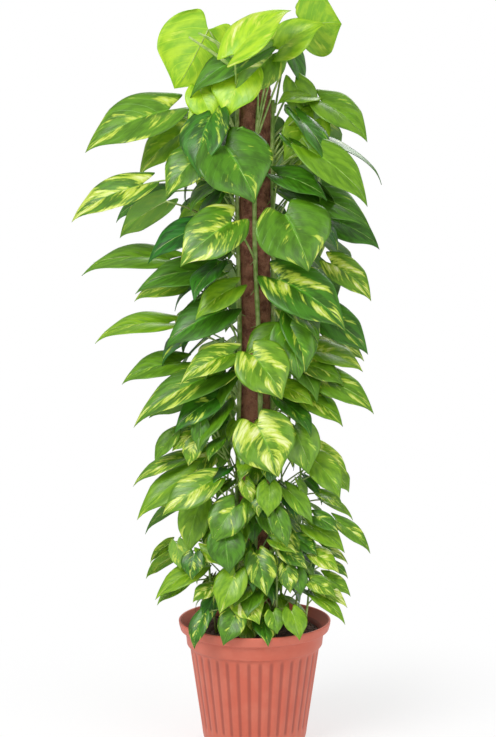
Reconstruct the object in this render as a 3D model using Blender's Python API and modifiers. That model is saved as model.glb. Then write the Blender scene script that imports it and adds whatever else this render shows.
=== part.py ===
"""A golden pothos grown up a coir pole in a ribbed plastic pot. Metres, +Z up, origin under the pot."""

import math

import bmesh
import bpy
from mathutils import Vector

CM = 0.01  # the tables below are in centimetres
GAP = 0.03  # cm, clearance between pieces that touch

# Driving dimensions, cm
RIM_RADIUS = 12.0
POT_HEIGHT = 20.0
WALL = 0.3
FLOOR = 0.6
FLUTES = 36
FLUTE_DEPTH = 0.16
FLUTE_TOP = 15.8
FLUTE_BOTTOM = 3.2
DRAIN_HOLES = 6
DRAIN_RADIUS = 0.6
DRAIN_CIRCLE = 5.6
SOIL_TOP = 18.2
SOIL_EDGE = 17.8

POLE_RADIUS = 2.45
POLE_TOP = 109.0
POLE_FOOT = 3.0
CORE_RADIUS = 1.1
CORE_PROUD = 0.4

VINE_RADIUS = 0.4
VINE_GAP = 0.05
STEM_GAP = 0.03  # from a stem's skin to what grows from it
VINE_STEP = 4.5
VINE_SWING = 9.0  # degrees to each side as the vine climbs

LEAF_THICK = 0.12
SPRIG_LEAF_THICK = 0.1
PETIOLE_RADIUS = 0.15
SPRIG_PETIOLE_RADIUS = 0.11
SPRIG_STEM_RADIUS = 0.2
LOBE = 0.15  # how far the heart's lobes reach back behind the petiole, of the blade's length
LOBE_ROUND = 1.7
ARCH = 0.07  # how high the blade's middle stands over the line from base to tip, of its length
FOLD = 0.16  # how steeply each half rises from the midrib
PETIOLE_LIFT = 0.12
PETIOLE_FOOT = 0.3  # the first straight bit, square to the stem
ROW_CROWD = 1.25  # sets a blade's cross rows closer together towards the petiole

# name: (azimuth in degrees, 0 facing -Y and 90 facing +X; top, cm)
VINES = {
    "left_vine": (-62, 103.5),
    "front_vine": (8, 100.0),
    "right_vine": (76, 101.0),
    "back_left_vine": (-142, 104.0),
    "back_right_vine": (146, 101.0),
}

# name, vine, height on the vine, blade base xyz, blade tip xyz, width, facing (azimuth, elevation)
LEAVES = [
    ("crown_leaf_1", "left_vine", 102.5, (-7, -2.5, 111.5), (-11.8, -4, 102.3), 12, (165, 20)),
    ("crown_leaf_2", "left_vine", 97.8, (-3, -11.5, 107.5), (5, -10, 114.5), 8, (-35, 40)),
    ("crown_leaf_3", "front_vine", 96, (7.5, -4, 112), (13, -5.5, 112.5), 10, (170, 20)),
    ("crown_leaf_4", "right_vine", 99, (5, -0.5, 109), (7.4, -0.5, 102.5), 5, (60, 10)),
    ("crown_leaf_5", "front_vine", 98, (0.5, -4.4, 108.2), (-10.3, -5.6, 102.4), 5.8, (0, 50)),
    ("crown_leaf_6", "left_vine", 96, (-5.2, -3, 101.4), (-10.4, -5.5, 98.2), 5, (-10, 32)),
    ("crown_leaf_7", "right_vine", 93, (8.5, -2, 101.5), (3.3, -5, 101), 4.5, (10, 60)),
    ("crown_leaf_8", "right_vine", 91, (10, -2, 100.8), (17, -5, 95.3), 6.5, (20, 45)),
    ("crown_leaf_9", "right_vine", 88, (10, -3.5, 95), (19.8, -4.5, 89.5), 5, (0, 85)),
    ("upper_leaf_1", "left_vine", 92, (-13, -3, 99.5), (-25.8, -5, 94), 8.5, (-10, 42)),
    ("upper_leaf_2", "left_vine", 89, (-10.5, 0, 96.5), (-18, -1, 90), 6, (-20, 35)),
    ("upper_leaf_3", "left_vine", 87, (-4.5, -9, 94.2), (0.3, -12, 86.3), 11, (5, 35)),
    ("upper_leaf_4", "left_vine", 85, (-8, -6, 93), (-13.5, -8, 87), 6.5, (-15, 35)),
    ("upper_leaf_5", "left_vine", 88, (-17, -5, 88.3), (-28, -6, 83.6), 5.5, (-10, 40)),
    ("upper_leaf_6", "left_vine", 86, (-14, 3, 86.8), (-22, 3, 83), 5, (-20, 50)),
    ("upper_leaf_7", "left_vine", 80, (-13.5, -4, 85.8), (-20.9, -7, 80.8), 4.5, (170, 30)),
    ("upper_leaf_8", "left_vine", 78.8, (-6, 1, 84.2), (-13, 0.5, 81), 5.5, (-10, 40)),
    ("upper_leaf_9", "left_vine", 77, (-7.5, -8, 82.3), (-16.2, -11, 77.9), 5.5, (-10, 50)),
    ("upper_leaf_10", "front_vine", 77, (-3.5, -10, 83), (-11, -13.5, 77.2), 8, (5, 40)),
    ("upper_leaf_11", "right_vine", 79, (4.5, -9, 84), (8.3, -12, 76.2), 11, (5, 35)),
    ("upper_leaf_12", "right_vine", 86.5, (8.5, 3.5, 95.5), (4.5, 2.5, 90.5), 5.5, (10, 35)),
    ("upper_leaf_13", "right_vine", 90, (8, -8, 93.6), (17.2, -11, 86.3), 6.5, (15, 40)),
    ("upper_leaf_14", "right_vine", 83.5, (3.5, -6.6, 89.8), (11, -8.6, 86.8), 5, (5, 50)),
    ("upper_leaf_15", "right_vine", 81.5, (5.8, -2.5, 87.3), (18, -5, 82.6), 7.5, (10, 50)),
    ("upper_leaf_16", "back_right_vine", 77, (11, 1, 83), (19.5, 0, 78.9), 6, (15, 40)),
    ("middle_leaf_1", "left_vine", 72, (-13.2, -2, 76.8), (-26.5, -3, 76.4), 5.5, (-5, 55)),
    ("middle_leaf_2", "left_vine", 70, (-6.5, -5, 75.4), (-18.2, -7, 73.6), 5.5, (-10, 45)),
    ("middle_leaf_3", "left_vine", 67.5, (-10.5, -1, 73), (-18.8, -1, 71.4), 4.5, (-20, 45)),
    ("middle_leaf_4", "left_vine", 66, (-3, -7, 73), (-9.3, -9, 69), 4.5, (-10, 35)),
    ("middle_leaf_5", "left_vine", 62, (-13.3, -2, 67), (-24.7, -3, 65.6), 5, (-10, 60)),
    ("middle_leaf_6", "left_vine", 63.5, (-4.5, -5, 69.3), (-14, -7, 64.8), 6.5, (-10, 40)),
    ("middle_leaf_7", "front_vine", 58, (-3.3, -9, 63.2), (-11.5, -11, 59.8), 5, (0, 50)),
    ("middle_leaf_8", "left_vine", 55.5, (-11.5, -2, 61), (-20.7, -3, 58.8), 5, (-10, 50)),
    ("middle_leaf_9", "left_vine", 53, (-5, -6, 59.8), (-19, -9, 53.6), 6, (-15, 45)),
    ("middle_leaf_10", "right_vine", 68, (3.5, -8, 74.3), (14, -11, 67.8), 9, (10, 40)),
    ("middle_leaf_11", "right_vine", 63.5, (9.8, -3, 68.8), (17.7, -5, 63.3), 6, (10, 40)),
    ("middle_leaf_12", "right_vine", 70.5, (11.7, -2, 76.2), (18.3, -3, 71.2), 5.5, (20, 40)),
    ("middle_leaf_13", "right_vine", 60, (5, -8, 66.5), (7, -10, 59.5), 6.5, (5, 30)),
    ("middle_leaf_14", "front_vine", 56, (-0.3, -11, 63.2), (4.5, -13, 57.2), 8, (0, 40)),
    ("middle_leaf_15", "right_vine", 53, (9.5, -3, 58.8), (18.7, -5, 54.5), 5.5, (15, 45)),
    ("middle_leaf_16", "front_vine", 46, (0.3, -10, 52.5), (4, -12.5, 45.3), 9, (0, 35)),
    ("middle_leaf_17", "right_vine", 45, (6, -7, 51.5), (8.6, -9, 45), 6, (10, 30)),
]

# name: (what it springs from, stem points xyz, [(place on the stem 0 to 1, base xyz, tip xyz, width, facing (azimuth, elevation))])
SPRIGS = {
    "left_side_shoot": (
        "left_vine",
        [(-3.7, -3.8, 45), (-5, -5.3, 48.5), (-6.2, -5, 52.5), (-6.8, -4, 55)],
        [
            (1.0, (-9.6, -4.2, 56.6), (-16.4, -5.2, 53.2), 4.5, (170, 30)),
            (0.9, (-6, -6.5, 56), (-12.5, -9, 51.8), 4.5, (-10, 40)),
            (0.6, (-6.5, -3, 52), (-14.5, -4, 48.8), 4.5, (-10, 50)),
            (0.5, (-8.2, -8, 52.6), (-8.3, -9, 48.2), 2.8, (0, 20)),
            (0.3, (-9, -6.5, 49.6), (-10.3, -7.5, 45.8), 3, (-10, 30)),
            (0.4, (-9.6, -5, 50), (-12.8, -6, 48), 2.5, (-10, 40)),
            (0.4, (-12.3, -4.6, 50.3), (-15.4, -5.6, 46), 3, (-30, 30)),
        ],
    ),
    "right_side_shoot": (
        "right_vine",
        [(4.5, -2.4, 48), (5.5, -2.5, 53), (6, -2.5, 58), (6, -2.5, 63)],
        [
            (0.9, (9.3, -2, 62.8), (16.8, -3, 60.2), 5, (10, 55)),
            (1.0, (10.5, 1, 64.7), (17.4, 1, 61.5), 4.5, (20, 45)),
            (0.8, (7.5, -4, 61), (14, -5, 58.4), 4.5, (10, 50)),
            (0.9, (3.2, -4.4, 66.2), (-1.8, -5.6, 62.8), 4, (0, 40)),
            (1.0, (4.5, -3, 69), (10, -4, 65.5), 4.5, (10, 45)),
            (0.5, (4.3, -6, 57.8), (9, -8, 55.6), 4, (0, 50)),
            (0.4, (5, -3.6, 56), (8.2, -4.2, 52), 4.2, (10, 35)),
            (0.5, (7.5, -4, 56), (14, -5, 52.3), 4.5, (15, 45)),
        ],
    ),
    "left_base_shoot": (
        "soil",
        [(-6, -2, 18.25), (-7, -3, 28), (-7, -3.5, 38), (-6.5, -3, 46)],
        [
            (0.95, (-10.5, -3, 46.3), (-19, -5, 43), 3.2, (-10, 55)),
            (1.0, (-6.4, -2.5, 47), (-10.8, -4, 43.2), 4, (-10, 40)),
            (0.9, (-9, -4, 44.3), (-18.6, -6, 37.8), 5, (-20, 40)),
            (0.7, (-10, -3, 39.8), (-17.4, -5, 35.4), 3, (165, 45)),
            (0.75, (-8.4, -5.5, 39.8), (-10.6, -7, 32.2), 5, (-15, 25)),
            (0.5, (-13, -4, 33), (-16.4, -6, 30.6), 2.5, (170, 40)),
            (0.45, (-12.5, -4, 31), (-17, -6, 28), 3, (170, 40)),
            (0.5, (-12, -6, 33.4), (-11.2, -7.5, 29.6), 3, (175, 20)),
            (0.35, (-8.4, -6, 29.5), (-15.4, -8, 25.4), 4, (-20, 50)),
            (0.3, (-11, -5, 26.5), (-15.2, -6.5, 24.2), 2.5, (-20, 60)),
        ],
    ),
    "front_left_shoot": (
        "soil",
        [(-3.5, -5, 18.25), (-4, -6.5, 26), (-4.3, -7, 34), (-3.5, -6.5, 42)],
        [
            (0.9, (-6.5, -9, 43.8), (-14, -11, 38.9), 5.2, (-5, 40)),
            (0.95, (-3, -10, 40), (-6.6, -12, 35), 5.5, (-5, 30)),
            (0.75, (-4.5, -10.5, 36), (-3.9, -12.5, 30.2), 5.5, (0, 25)),
            (0.6, (-9.2, -9, 32.4), (-9.8, -10.5, 28.8), 3.5, (-15, 30)),
            (0.55, (-8.3, -8, 33), (-5.3, -9.5, 30.8), 2.6, (0, 45)),
            (0.4, (-2.9, -10.5, 29.8), (-5.2, -13, 24.2), 4.6, (-5, 30)),
            (0.3, (-6.5, -8, 27), (-9.5, -9.5, 25.2), 3, (-20, 50)),
            (0.2, (-7.8, -11, 23.4), (-9.5, -13, 18.8), 3, (-30, 25)),
            (0.15, (-2.8, -11, 23.6), (-4.8, -13.2, 19.4), 4, (-5, 30)),
            (0.2, (-2.2, -8.5, 25.8), (1, -12, 22.6), 5, (5, 40)),
            (0.45, (-2.5, -8, 31), (-0.8, -9, 28.3), 2.6, (0, 35)),
            (1.0, (-1.5, -8, 43.5), (-0.4, -9, 40.1), 2.3, (0, 25)),
        ],
    ),
    "front_right_shoot": (
        "soil",
        [(3, -5.5, 18.25), (3.4, -6.5, 26), (3.2, -7, 34), (2.6, -6.5, 41)],
        [
            (1.0, (2.2, -9, 43), (2, -11, 38.6), 3.8, (5, 25)),
            (0.85, (3.2, -9.5, 38.9), (4.9, -11.5, 34), 3.2, (10, 25)),
            (0.7, (2.8, -9, 34.6), (6.4, -10.5, 33), 2.6, (5, 50)),
            (0.9, (5, -7, 42), (9.2, -9, 37.4), 3.2, (10, 40)),
            (0.6, (0.4, -9, 32.2), (2, -11.5, 26.6), 4.6, (0, 30)),
            (0.6, (4.4, -8, 32.7), (8, -9.5, 30.3), 3, (5, 45)),
            (0.5, (4.8, -8.5, 30.3), (5.4, -9.8, 26.5), 3, (10, 25)),
            (0.4, (6.4, -8, 29.6), (7, -9.2, 26), 2.8, (10, 25)),
            (0.2, (5.6, -11, 24), (6.8, -13.2, 20.2), 3.6, (15, 30)),
            (0.15, (2.8, -11, 23.8), (3.6, -12.8, 21), 3, (5, 30)),
        ],
    ),
    "right_upper_base_shoot": (
        "soil",
        [(6, -1.5, 18.25), (7, -2.5, 28), (7.5, -3, 37), (7, -3, 45)],
        [
            (1.0, (9.5, -3, 48.1), (14.6, -4, 44), 2.8, (20, 50)),
            (0.95, (9.2, -5, 46.2), (13.6, -7, 41.2), 4.8, (15, 35)),
            (0.9, (12.3, -0.5, 43.8), (15, -0.5, 40.4), 3, (25, 35)),
            (0.8, (10.2, -4, 40.8), (14, -5, 38.9), 2.6, (10, 60)),
            (0.75, (10.8, -2, 39.4), (15.5, -3, 36.9), 2.2, (10, 65)),
            (0.75, (9.2, -6.5, 37.8), (13, -8, 35.8), 2.8, (10, 40)),
            (0.7, (12.6, -4, 36.5), (18, -6, 32.2), 3, (20, 50)),
            (0.65, (8.4, -5, 36), (14, -7, 32.6), 4, (15, 45)),
            (0.5, (6.5, -6, 34.2), (9.8, -7, 32), 2.8, (5, 45)),
        ],
    ),
    "right_lower_base_shoot": (
        "soil",
        [(7.2, -4.5, 18.25), (8, -5, 22), (8.4, -5, 26), (8.6, -4.6, 29.5)],
        [
            (0.95, (9, -6, 31.8), (13.2, -7.5, 29.6), 3.2, (10, 45)),
            (1.0, (10.6, -2, 32), (14.6, -3, 29.6), 1.8, (15, 60)),
            (0.9, (11.5, -3.5, 29.8), (14.7, -4.5, 28), 2, (15, 55)),
            (0.7, (10.8, -5, 28), (15, -6.5, 25.6), 2.8, (15, 50)),
            (0.6, (9.8, -6.5, 26.7), (14.4, -8.5, 24.4), 2.6, (15, 50)),
            (0.45, (9.4, -7.5, 25.4), (14.2, -10, 22.4), 2.4, (15, 50)),
            (0.8, (8.6, -8, 28), (12.6, -10, 26.2), 3, (10, 45)),
        ],
    ),
}

# The leaves behind the pole follow a rule
BACK_TURN = 137.5  # degrees from one leaf to the next
BACK_SHOOT_LEAVES = 9


def material(name, colour, roughness):
    made = bpy.data.materials.new(name)
    made.use_nodes = True
    shader = made.node_tree.nodes["Principled BSDF"]
    shader.inputs["Base Color"].default_value = (*colour, 1)
    shader.inputs["Roughness"].default_value = roughness
    shader.inputs["Metallic"].default_value = 0.0
    return made


def point(values):
    return Vector(values) * CM


def direction(azimuth, elevation=0.0):
    turn = math.radians(azimuth)
    rise = math.radians(elevation)
    level = math.cos(rise)
    return Vector((level * math.sin(turn), -level * math.cos(turn), math.sin(rise)))


def put(obj, group, colour=None):
    group.objects.link(obj)
    if colour:
        obj.data.materials.clear()
        obj.data.materials.append(colour)
    return obj


def hide(obj):
    obj.hide_render = True
    obj.display_type = "WIRE"
    return obj


def mesh_object(name, bm, group, colour=None):
    mesh = bpy.data.meshes.new(name)
    bm.to_mesh(mesh)
    bm.free()
    mesh.shade_smooth()
    mesh.set_sharp_from_angle(angle=math.radians(40))
    return put(bpy.data.objects.new(name, mesh), group, colour)


def fixed_mesh(obj):
    """The object's evaluated shape as a plain welded mesh; the object itself goes."""
    graph = bpy.context.evaluated_depsgraph_get()
    mesh = bpy.data.meshes.new_from_object(obj.evaluated_get(graph))
    bm = bmesh.new()
    bm.from_mesh(mesh)
    bmesh.ops.remove_doubles(bm, verts=bm.verts, dist=1e-6)
    bmesh.ops.recalc_face_normals(bm, faces=bm.faces)
    bm.to_mesh(mesh)
    bm.free()
    bpy.data.objects.remove(obj)
    return mesh


def turned(name, profile, steps, group, colour):
    """A solid of revolution from (radius, height) points in cm that run down the outer side."""
    bm = bmesh.new()
    corners = [bm.verts.new((r * CM, 0, z * CM)) for r, z in profile]
    for first, second in zip(corners, corners[1:]):
        bm.edges.new((first, second))
    obj = mesh_object(name, bm, group, colour)
    screw = obj.modifiers.new("Screw", "SCREW")
    screw.steps = steps
    screw.render_steps = steps
    screw.use_merge_vertices = True
    screw.merge_threshold = 1e-5
    return obj


def tube(name, points, radius, group, resolution):
    curve = bpy.data.curves.new(name, "CURVE")
    curve.dimensions = "3D"
    curve.bevel_depth = radius * CM
    curve.bevel_resolution = resolution
    curve.use_fill_caps = True
    spline = curve.splines.new("POLY")
    spline.points.add(len(points) - 1)
    for target, place in zip(spline.points, points):
        target.co = (*place, 1)
    return put(bpy.data.objects.new(name, curve), group)


def tube_mesh(name, points, radius, group, resolution=1):
    obj = tube(name, points, radius, group, resolution)
    bpy.context.view_layer.update()
    return put(bpy.data.objects.new(name, fixed_mesh(obj)), group)


def outline(v):
    """Half the blade's width at v along it, 1 at the widest place."""
    return (v + 0.05) ** 0.5 * (1 - v) ** 1.1 / 0.4


def blade_place(leaf, u, v):
    """A place on the blade: u from -1 to 1 across it, v from 0 at the petiole to 1 at the tip."""
    base, tip, width, facing = leaf
    base = point(base)
    length = (point(tip) - base).length
    along = (point(tip) - base).normalized()
    up = direction(*facing)
    up = (up - along * up.dot(along)).normalized()
    side = along.cross(up)
    across = u * width * CM / 2 * outline(v)
    reach = length * (v - LOBE * abs(u) ** LOBE_ROUND * (1 - v) ** 3)
    height = length * ARCH * 4 * v * (1 - v) + FOLD * abs(across)
    return base + along * reach + side * across + up * height


def blade_up(leaf):
    base, tip, _, facing = leaf
    along = (point(tip) - point(base)).normalized()
    up = direction(*facing)
    return (up - along * up.dot(along)).normalized()


def blade(name, leaf, across, lengthwise, thick, group, colour):
    bm = bmesh.new()
    bmesh.ops.create_grid(bm, x_segments=across, y_segments=lengthwise, size=1)
    for vert in bm.verts:
        vert.co = blade_place(leaf, vert.co.x, ((vert.co.y + 1) / 2) ** ROW_CROWD)
    bmesh.ops.remove_doubles(bm, verts=bm.verts, dist=1e-6)
    obj = mesh_object(name, bm, group, colour)
    solid = obj.modifiers.new("Thickness", "SOLIDIFY")
    solid.thickness = thick * CM
    solid.offset = 0
    return obj


def petiole_path(start, end, steps):
    """A stalk's way up and over from one place to another."""
    crown = (start + end) / 2 + Vector((0, 0, (end - start).length * PETIOLE_LIFT))
    path = []
    for step in range(steps + 1):
        t = step / steps
        path.append(start * (1 - t) ** 2 + crown * (2 * t * (1 - t)) + end * t**2)
    return path


def vine_place(name, height):
    azimuth, _ = VINES[name]
    swing = VINE_SWING * math.sin(height / 9.0 + azimuth)
    radius = POLE_RADIUS + VINE_RADIUS + VINE_GAP
    return direction(azimuth + swing) * (radius * CM) + Vector((0, 0, height * CM))


def vine_path(name):
    top = VINES[name][1]
    foot = SOIL_TOP + GAP
    count = round((top - foot) / VINE_STEP)
    return [vine_place(name, foot + (top - foot) * i / count) for i in range(count + 1)]


def stem_side(name, height, target, off):
    """A place level with the vine's centre, off it towards the target."""
    centre = vine_place(name, height)
    out = target - centre
    out.z = 0
    return centre + out.normalized() * (off * CM)


def unite(obj, helpers):
    for helper in helpers:
        hide(helper)
        union = obj.modifiers.new("Union", "BOOLEAN")
        union.operation = "UNION"
        union.object = helper
    return obj


def unite_group(obj, group):
    for helper in group.objects:
        hide(helper)
    union = obj.modifiers.new("Union", "BOOLEAN")
    union.operation = "UNION"
    union.operand_type = "COLLECTION"
    union.collection = group
    return obj


def inner_radius(z):
    """Inside of the pot's wall at height z, cm."""
    return 7.75 + (z - FLOOR) * (RIM_RADIUS - 1.45 - 7.75) / (POT_HEIGHT - FLOOR)


def pot(group, cutters, colour):
    profile = [
        (0, FLOOR),
        (inner_radius(FLOOR), FLOOR),
        (inner_radius(POT_HEIGHT - 1.3), POT_HEIGHT - 1.3),
        (RIM_RADIUS - 0.4, POT_HEIGHT - 0.2),
        (RIM_RADIUS - 0.2, POT_HEIGHT),
        (RIM_RADIUS, POT_HEIGHT - 0.2),
        (RIM_RADIUS - 0.35, POT_HEIGHT - 1.5),
        (RIM_RADIUS - 1.05, POT_HEIGHT - 1.65),
        (RIM_RADIUS - 1.35, POT_HEIGHT - 3.9),
        (inner_radius(FLUTE_TOP) + WALL, FLUTE_TOP),
        (inner_radius(FLUTE_BOTTOM) + WALL, FLUTE_BOTTOM),
        (inner_radius(1.2) + WALL - 0.1, 1.2),
        (inner_radius(0) - 0.1, 0),
        (0, 0),
    ]
    lathe = turned("pot_lathe", profile, FLUTES * 2, group, colour)
    bpy.context.view_layer.update()
    mesh = fixed_mesh(lathe)
    for vert in mesh.vertices:
        radius = math.hypot(vert.co.x, vert.co.y)
        column = round(math.atan2(vert.co.y, vert.co.x) / math.pi * FLUTES)
        inside = radius < (inner_radius(vert.co.z / CM) + WALL / 2) * CM
        in_band = (FLUTE_BOTTOM - 0.5) * CM < vert.co.z < (FLUTE_TOP + 0.1) * CM
        if in_band and column % 2 and not inside:
            share = 1 - FLUTE_DEPTH * CM / radius
            vert.co.x *= share
            vert.co.y *= share
    obj = put(bpy.data.objects.new("pot", mesh), group, colour)
    mesh.shade_smooth()
    mesh.set_sharp_from_angle(angle=math.radians(35))
    bm = bmesh.new()
    for i in range(DRAIN_HOLES):
        hole = bmesh.ops.create_cone(
            bm,
            cap_ends=True,
            segments=8,
            radius1=DRAIN_RADIUS * CM,
            radius2=DRAIN_RADIUS * CM,
            depth=FLOOR * 3 * CM,
        )
        place = direction(360 * (i + 0.5) / DRAIN_HOLES) * (DRAIN_CIRCLE * CM)
        bmesh.ops.translate(bm, verts=hole["verts"], vec=place)
    drain = hide(mesh_object("drain_holes", bm, cutters))
    cut = obj.modifiers.new("Drain", "BOOLEAN")
    cut.operation = "DIFFERENCE"
    cut.object = drain
    return obj


def soil(group, colour):
    socket = POLE_RADIUS + GAP
    profile = [
        (0, POLE_FOOT - GAP),
        (socket, POLE_FOOT - GAP),
        (socket, SOIL_TOP),
        (9.3, SOIL_TOP),
        (inner_radius(SOIL_EDGE) - GAP, SOIL_EDGE),
        (inner_radius(FLOOR) - GAP, FLOOR + GAP),
        (0, FLOOR + GAP),
    ]
    return turned("soil", profile, 36, group, colour)


def coir_pole(group, coir, wood):
    profile = [
        (CORE_RADIUS + GAP, POLE_FOOT),
        (CORE_RADIUS + GAP, POLE_TOP),
        (POLE_RADIUS - 0.15, POLE_TOP),
        (POLE_RADIUS, POLE_TOP - 0.15),
        (POLE_RADIUS, POLE_FOOT),
        (CORE_RADIUS + GAP, POLE_FOOT),
    ]
    turned("coir_sleeve", profile, 24, group, coir)
    core = [
        (0, POLE_TOP + CORE_PROUD),
        (CORE_RADIUS, POLE_TOP + CORE_PROUD),
        (CORE_RADIUS, POLE_FOOT),
        (0, POLE_FOOT),
    ]
    turned("pole_core", core, 16, group, wood)


def leaf_node(row, group, helpers, green):
    name, vine, height, base, tip, width, facing = row
    leaf = (base, tip, width, facing)
    obj = blade(name, leaf, 4, 3, LEAF_THICK, group, green)
    skin = VINE_RADIUS + STEM_GAP
    start = stem_side(vine, height, point(base), skin + PETIOLE_FOOT)
    under = blade_up(leaf) * (PETIOLE_RADIUS * 0.7 * CM)
    path = [stem_side(vine, height, point(base), skin)]
    path += petiole_path(start, point(base) - under, 3)
    path.append(blade_place(leaf, 0, 0.14) - under)
    stalk = tube_mesh(name + "_petiole", path, PETIOLE_RADIUS, helpers, 0)
    return unite(obj, [stalk])


def along_path(points, share):
    """The place a share of the way along a list of points."""
    spot = share * (len(points) - 1)
    index = min(int(spot), len(points) - 2)
    return points[index].lerp(points[index + 1], spot - index)


def smooth_path(points, steps):
    """Catmull-Rom points through the given ones."""
    ends = [points[0] * 2 - points[1], *points, points[-1] * 2 - points[-2]]
    path = []
    for a, b, c, d in zip(ends, ends[1:], ends[2:], ends[3:]):
        for step in range(steps):
            t = step / steps
            path.append(
                0.5 * (2 * b + (c - a) * t + (2 * a - 5 * b + 4 * c - d) * t**2 + (3 * b - a - 3 * c + d) * t**3)
            )
    path.append(points[-1])
    return path


def leafy(name, path, leaves, stem_radius, scene, group, green, leaf_thick, petiole):
    """One stem with its leaves, all one piece."""
    helpers = bpy.data.collections.new(name + "_pieces")
    scene.children.link(helpers)
    helpers.hide_render = True
    for index, (start, leaf) in enumerate(leaves):
        blade(f"{name}_blade_{index}", leaf, 2, 2, leaf_thick, helpers, green)
        stalk = petiole_path(start, blade_place(leaf, 0, 0.08), 2)
        tube_mesh(f"{name}_petiole_{index}", stalk, petiole, helpers, 0)
    stem = tube_mesh(name, path, stem_radius, group)
    stem.data.materials.append(green)
    return unite_group(stem, helpers)


def sprig(name, scene, group, green):
    root, points, rows = SPRIGS[name]
    points = [point(p) for p in points]
    if root in VINES:
        points.insert(0, stem_side(root, points[0].z / CM, points[0], VINE_RADIUS + STEM_GAP))
    path = smooth_path(points, 2)
    leaves = []
    for place, base, tip, width, facing in rows:
        start = along_path(path, place)
        leaves.append((start, (base, tip, width, facing)))
    leafy(name, path, leaves, SPRIG_STEM_RADIUS, scene, group, green, SPRIG_LEAF_THICK, SPRIG_PETIOLE_RADIUS)


def leaf_outward(azimuth, height, reach, length, width, droop):
    """A leaf that stands off the pole's axis in one direction and hangs outward."""
    out = direction(azimuth)
    base = out * reach + Vector((0, 0, height))
    tip = base + direction(azimuth, -droop) * length
    return (tuple(base), tuple(tip), width, (azimuth, 90 - droop))


def back_vine(name, scene, group, green):
    """A climbing stem behind the pole, with the big leaves that hang from it."""
    side = math.copysign(1, VINES[name][0])
    leaves = []
    for index, height in enumerate(range(52, 98, 6)):
        azimuth = side * (160 - 36 * ((index * BACK_TURN / 360) % 1))
        size = 7.5 + 4.0 * (height - 50) / 50
        reach = 7 + 4 * ((index * 0.4) % 1)
        leaf = leaf_outward(azimuth, height + 5, reach, size, size * 0.7, 35)
        start = stem_side(name, height, point(leaf[0]), 0)
        leaves.append((start, leaf))
    leafy(name, vine_path(name), leaves, VINE_RADIUS, scene, group, green, LEAF_THICK, PETIOLE_RADIUS)


def back_shoot(name, azimuth, scene, group, green):
    """A shoot from the soil behind the pole, bushy with small leaves."""
    points = []
    for height, reach in ((SOIL_TOP + 0.05, 6.0), (28, 7.0), (38, 7.0), (47, 6.0)):
        points.append(direction(azimuth) * (reach * CM) + Vector((0, 0, height * CM)))
    path = smooth_path(points, 2)
    leaves = []
    for index in range(BACK_SHOOT_LEAVES):
        height = 24 + index * 2.8
        turn = azimuth + 44 * math.sin(index * 2.4)
        reach = 8.5 + 2.5 * ((index * 0.618) % 1)
        size = 4.4 + 2.0 * index / BACK_SHOOT_LEAVES
        leaf = leaf_outward(turn, height, reach, size, size * 0.66, 40)
        leaves.append((along_path(path, max(0.05, (height - 22) / 30)), leaf))
    leafy(name, path, leaves, SPRIG_STEM_RADIUS, scene, group, green, SPRIG_LEAF_THICK, SPRIG_PETIOLE_RADIUS)


def vine(name, group, green):
    obj = tube_mesh(name, vine_path(name), VINE_RADIUS, group, 1)
    obj.data.materials.append(green)


def main():
    for obj in list(bpy.data.objects):
        bpy.data.objects.remove(obj)
    scene = bpy.context.scene.collection
    group = bpy.data.collections.new("potted_pothos")
    cutters = bpy.data.collections.new("cutters_and_helpers")
    scene.children.link(group)
    scene.children.link(cutters)
    cutters.hide_render = True

    terracotta = material("terracotta plastic", (0.66, 0.155, 0.1), 0.45)
    peat = material("peat soil", (0.04, 0.022, 0.014), 0.95)
    coir = material("coir fibre", (0.16, 0.06, 0.035), 0.9)
    wood = material("pole core", (0.45, 0.32, 0.2), 0.7)
    stem_green = material("green stem", (0.2, 0.36, 0.06), 0.5)
    young = material("young leaf", (0.36, 0.62, 0.02), 0.35)
    green = material("leaf", (0.09, 0.3, 0.02), 0.3)

    pot(group, cutters, terracotta)
    soil(group, peat)
    coir_pole(group, coir, wood)
    for name in ("left_vine", "front_vine", "right_vine"):
        vine(name, group, stem_green)
    for row in LEAVES:
        leaf_node(row, group, cutters, young if row[0].startswith("crown") else green)
    for name in SPRIGS:
        sprig(name, scene, group, green)
    for name in ("back_left_vine", "back_right_vine"):
        back_vine(name, scene, group, green)
    back_shoot("back_left_shoot", -140, scene, group, green)
    back_shoot("back_right_shoot", 140, scene, group, green)


main()
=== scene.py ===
import bpy
import bmesh
import math
import random
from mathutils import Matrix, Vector, noise


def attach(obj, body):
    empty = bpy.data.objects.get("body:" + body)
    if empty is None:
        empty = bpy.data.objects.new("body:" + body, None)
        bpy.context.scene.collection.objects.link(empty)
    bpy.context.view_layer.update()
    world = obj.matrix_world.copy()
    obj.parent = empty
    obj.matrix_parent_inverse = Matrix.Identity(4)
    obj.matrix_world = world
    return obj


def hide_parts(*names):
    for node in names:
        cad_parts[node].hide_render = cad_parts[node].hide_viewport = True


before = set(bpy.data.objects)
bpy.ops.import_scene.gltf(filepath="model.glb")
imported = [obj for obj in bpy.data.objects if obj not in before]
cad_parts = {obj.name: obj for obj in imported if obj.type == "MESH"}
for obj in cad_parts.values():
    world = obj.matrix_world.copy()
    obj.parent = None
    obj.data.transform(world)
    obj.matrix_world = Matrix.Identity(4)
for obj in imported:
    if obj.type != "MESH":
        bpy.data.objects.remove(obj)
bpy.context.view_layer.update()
cm = 0.01  # the tables below are in centimetres, like the part's own
mainGroup = bpy.context.scene.collection

bpy.context.scene.view_settings.view_transform = "Standard"


# the camera comes first, so that everything is judged through it
cameraLook = {
    "place": (0.0, -3.0, 0.987),
    "pitch": -7.4,  # degrees under level
    "turn": 0.2,  # degrees towards the left
    "lens": 95.3,
    "sensor": 36,
    "reach": 60,
}


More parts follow.
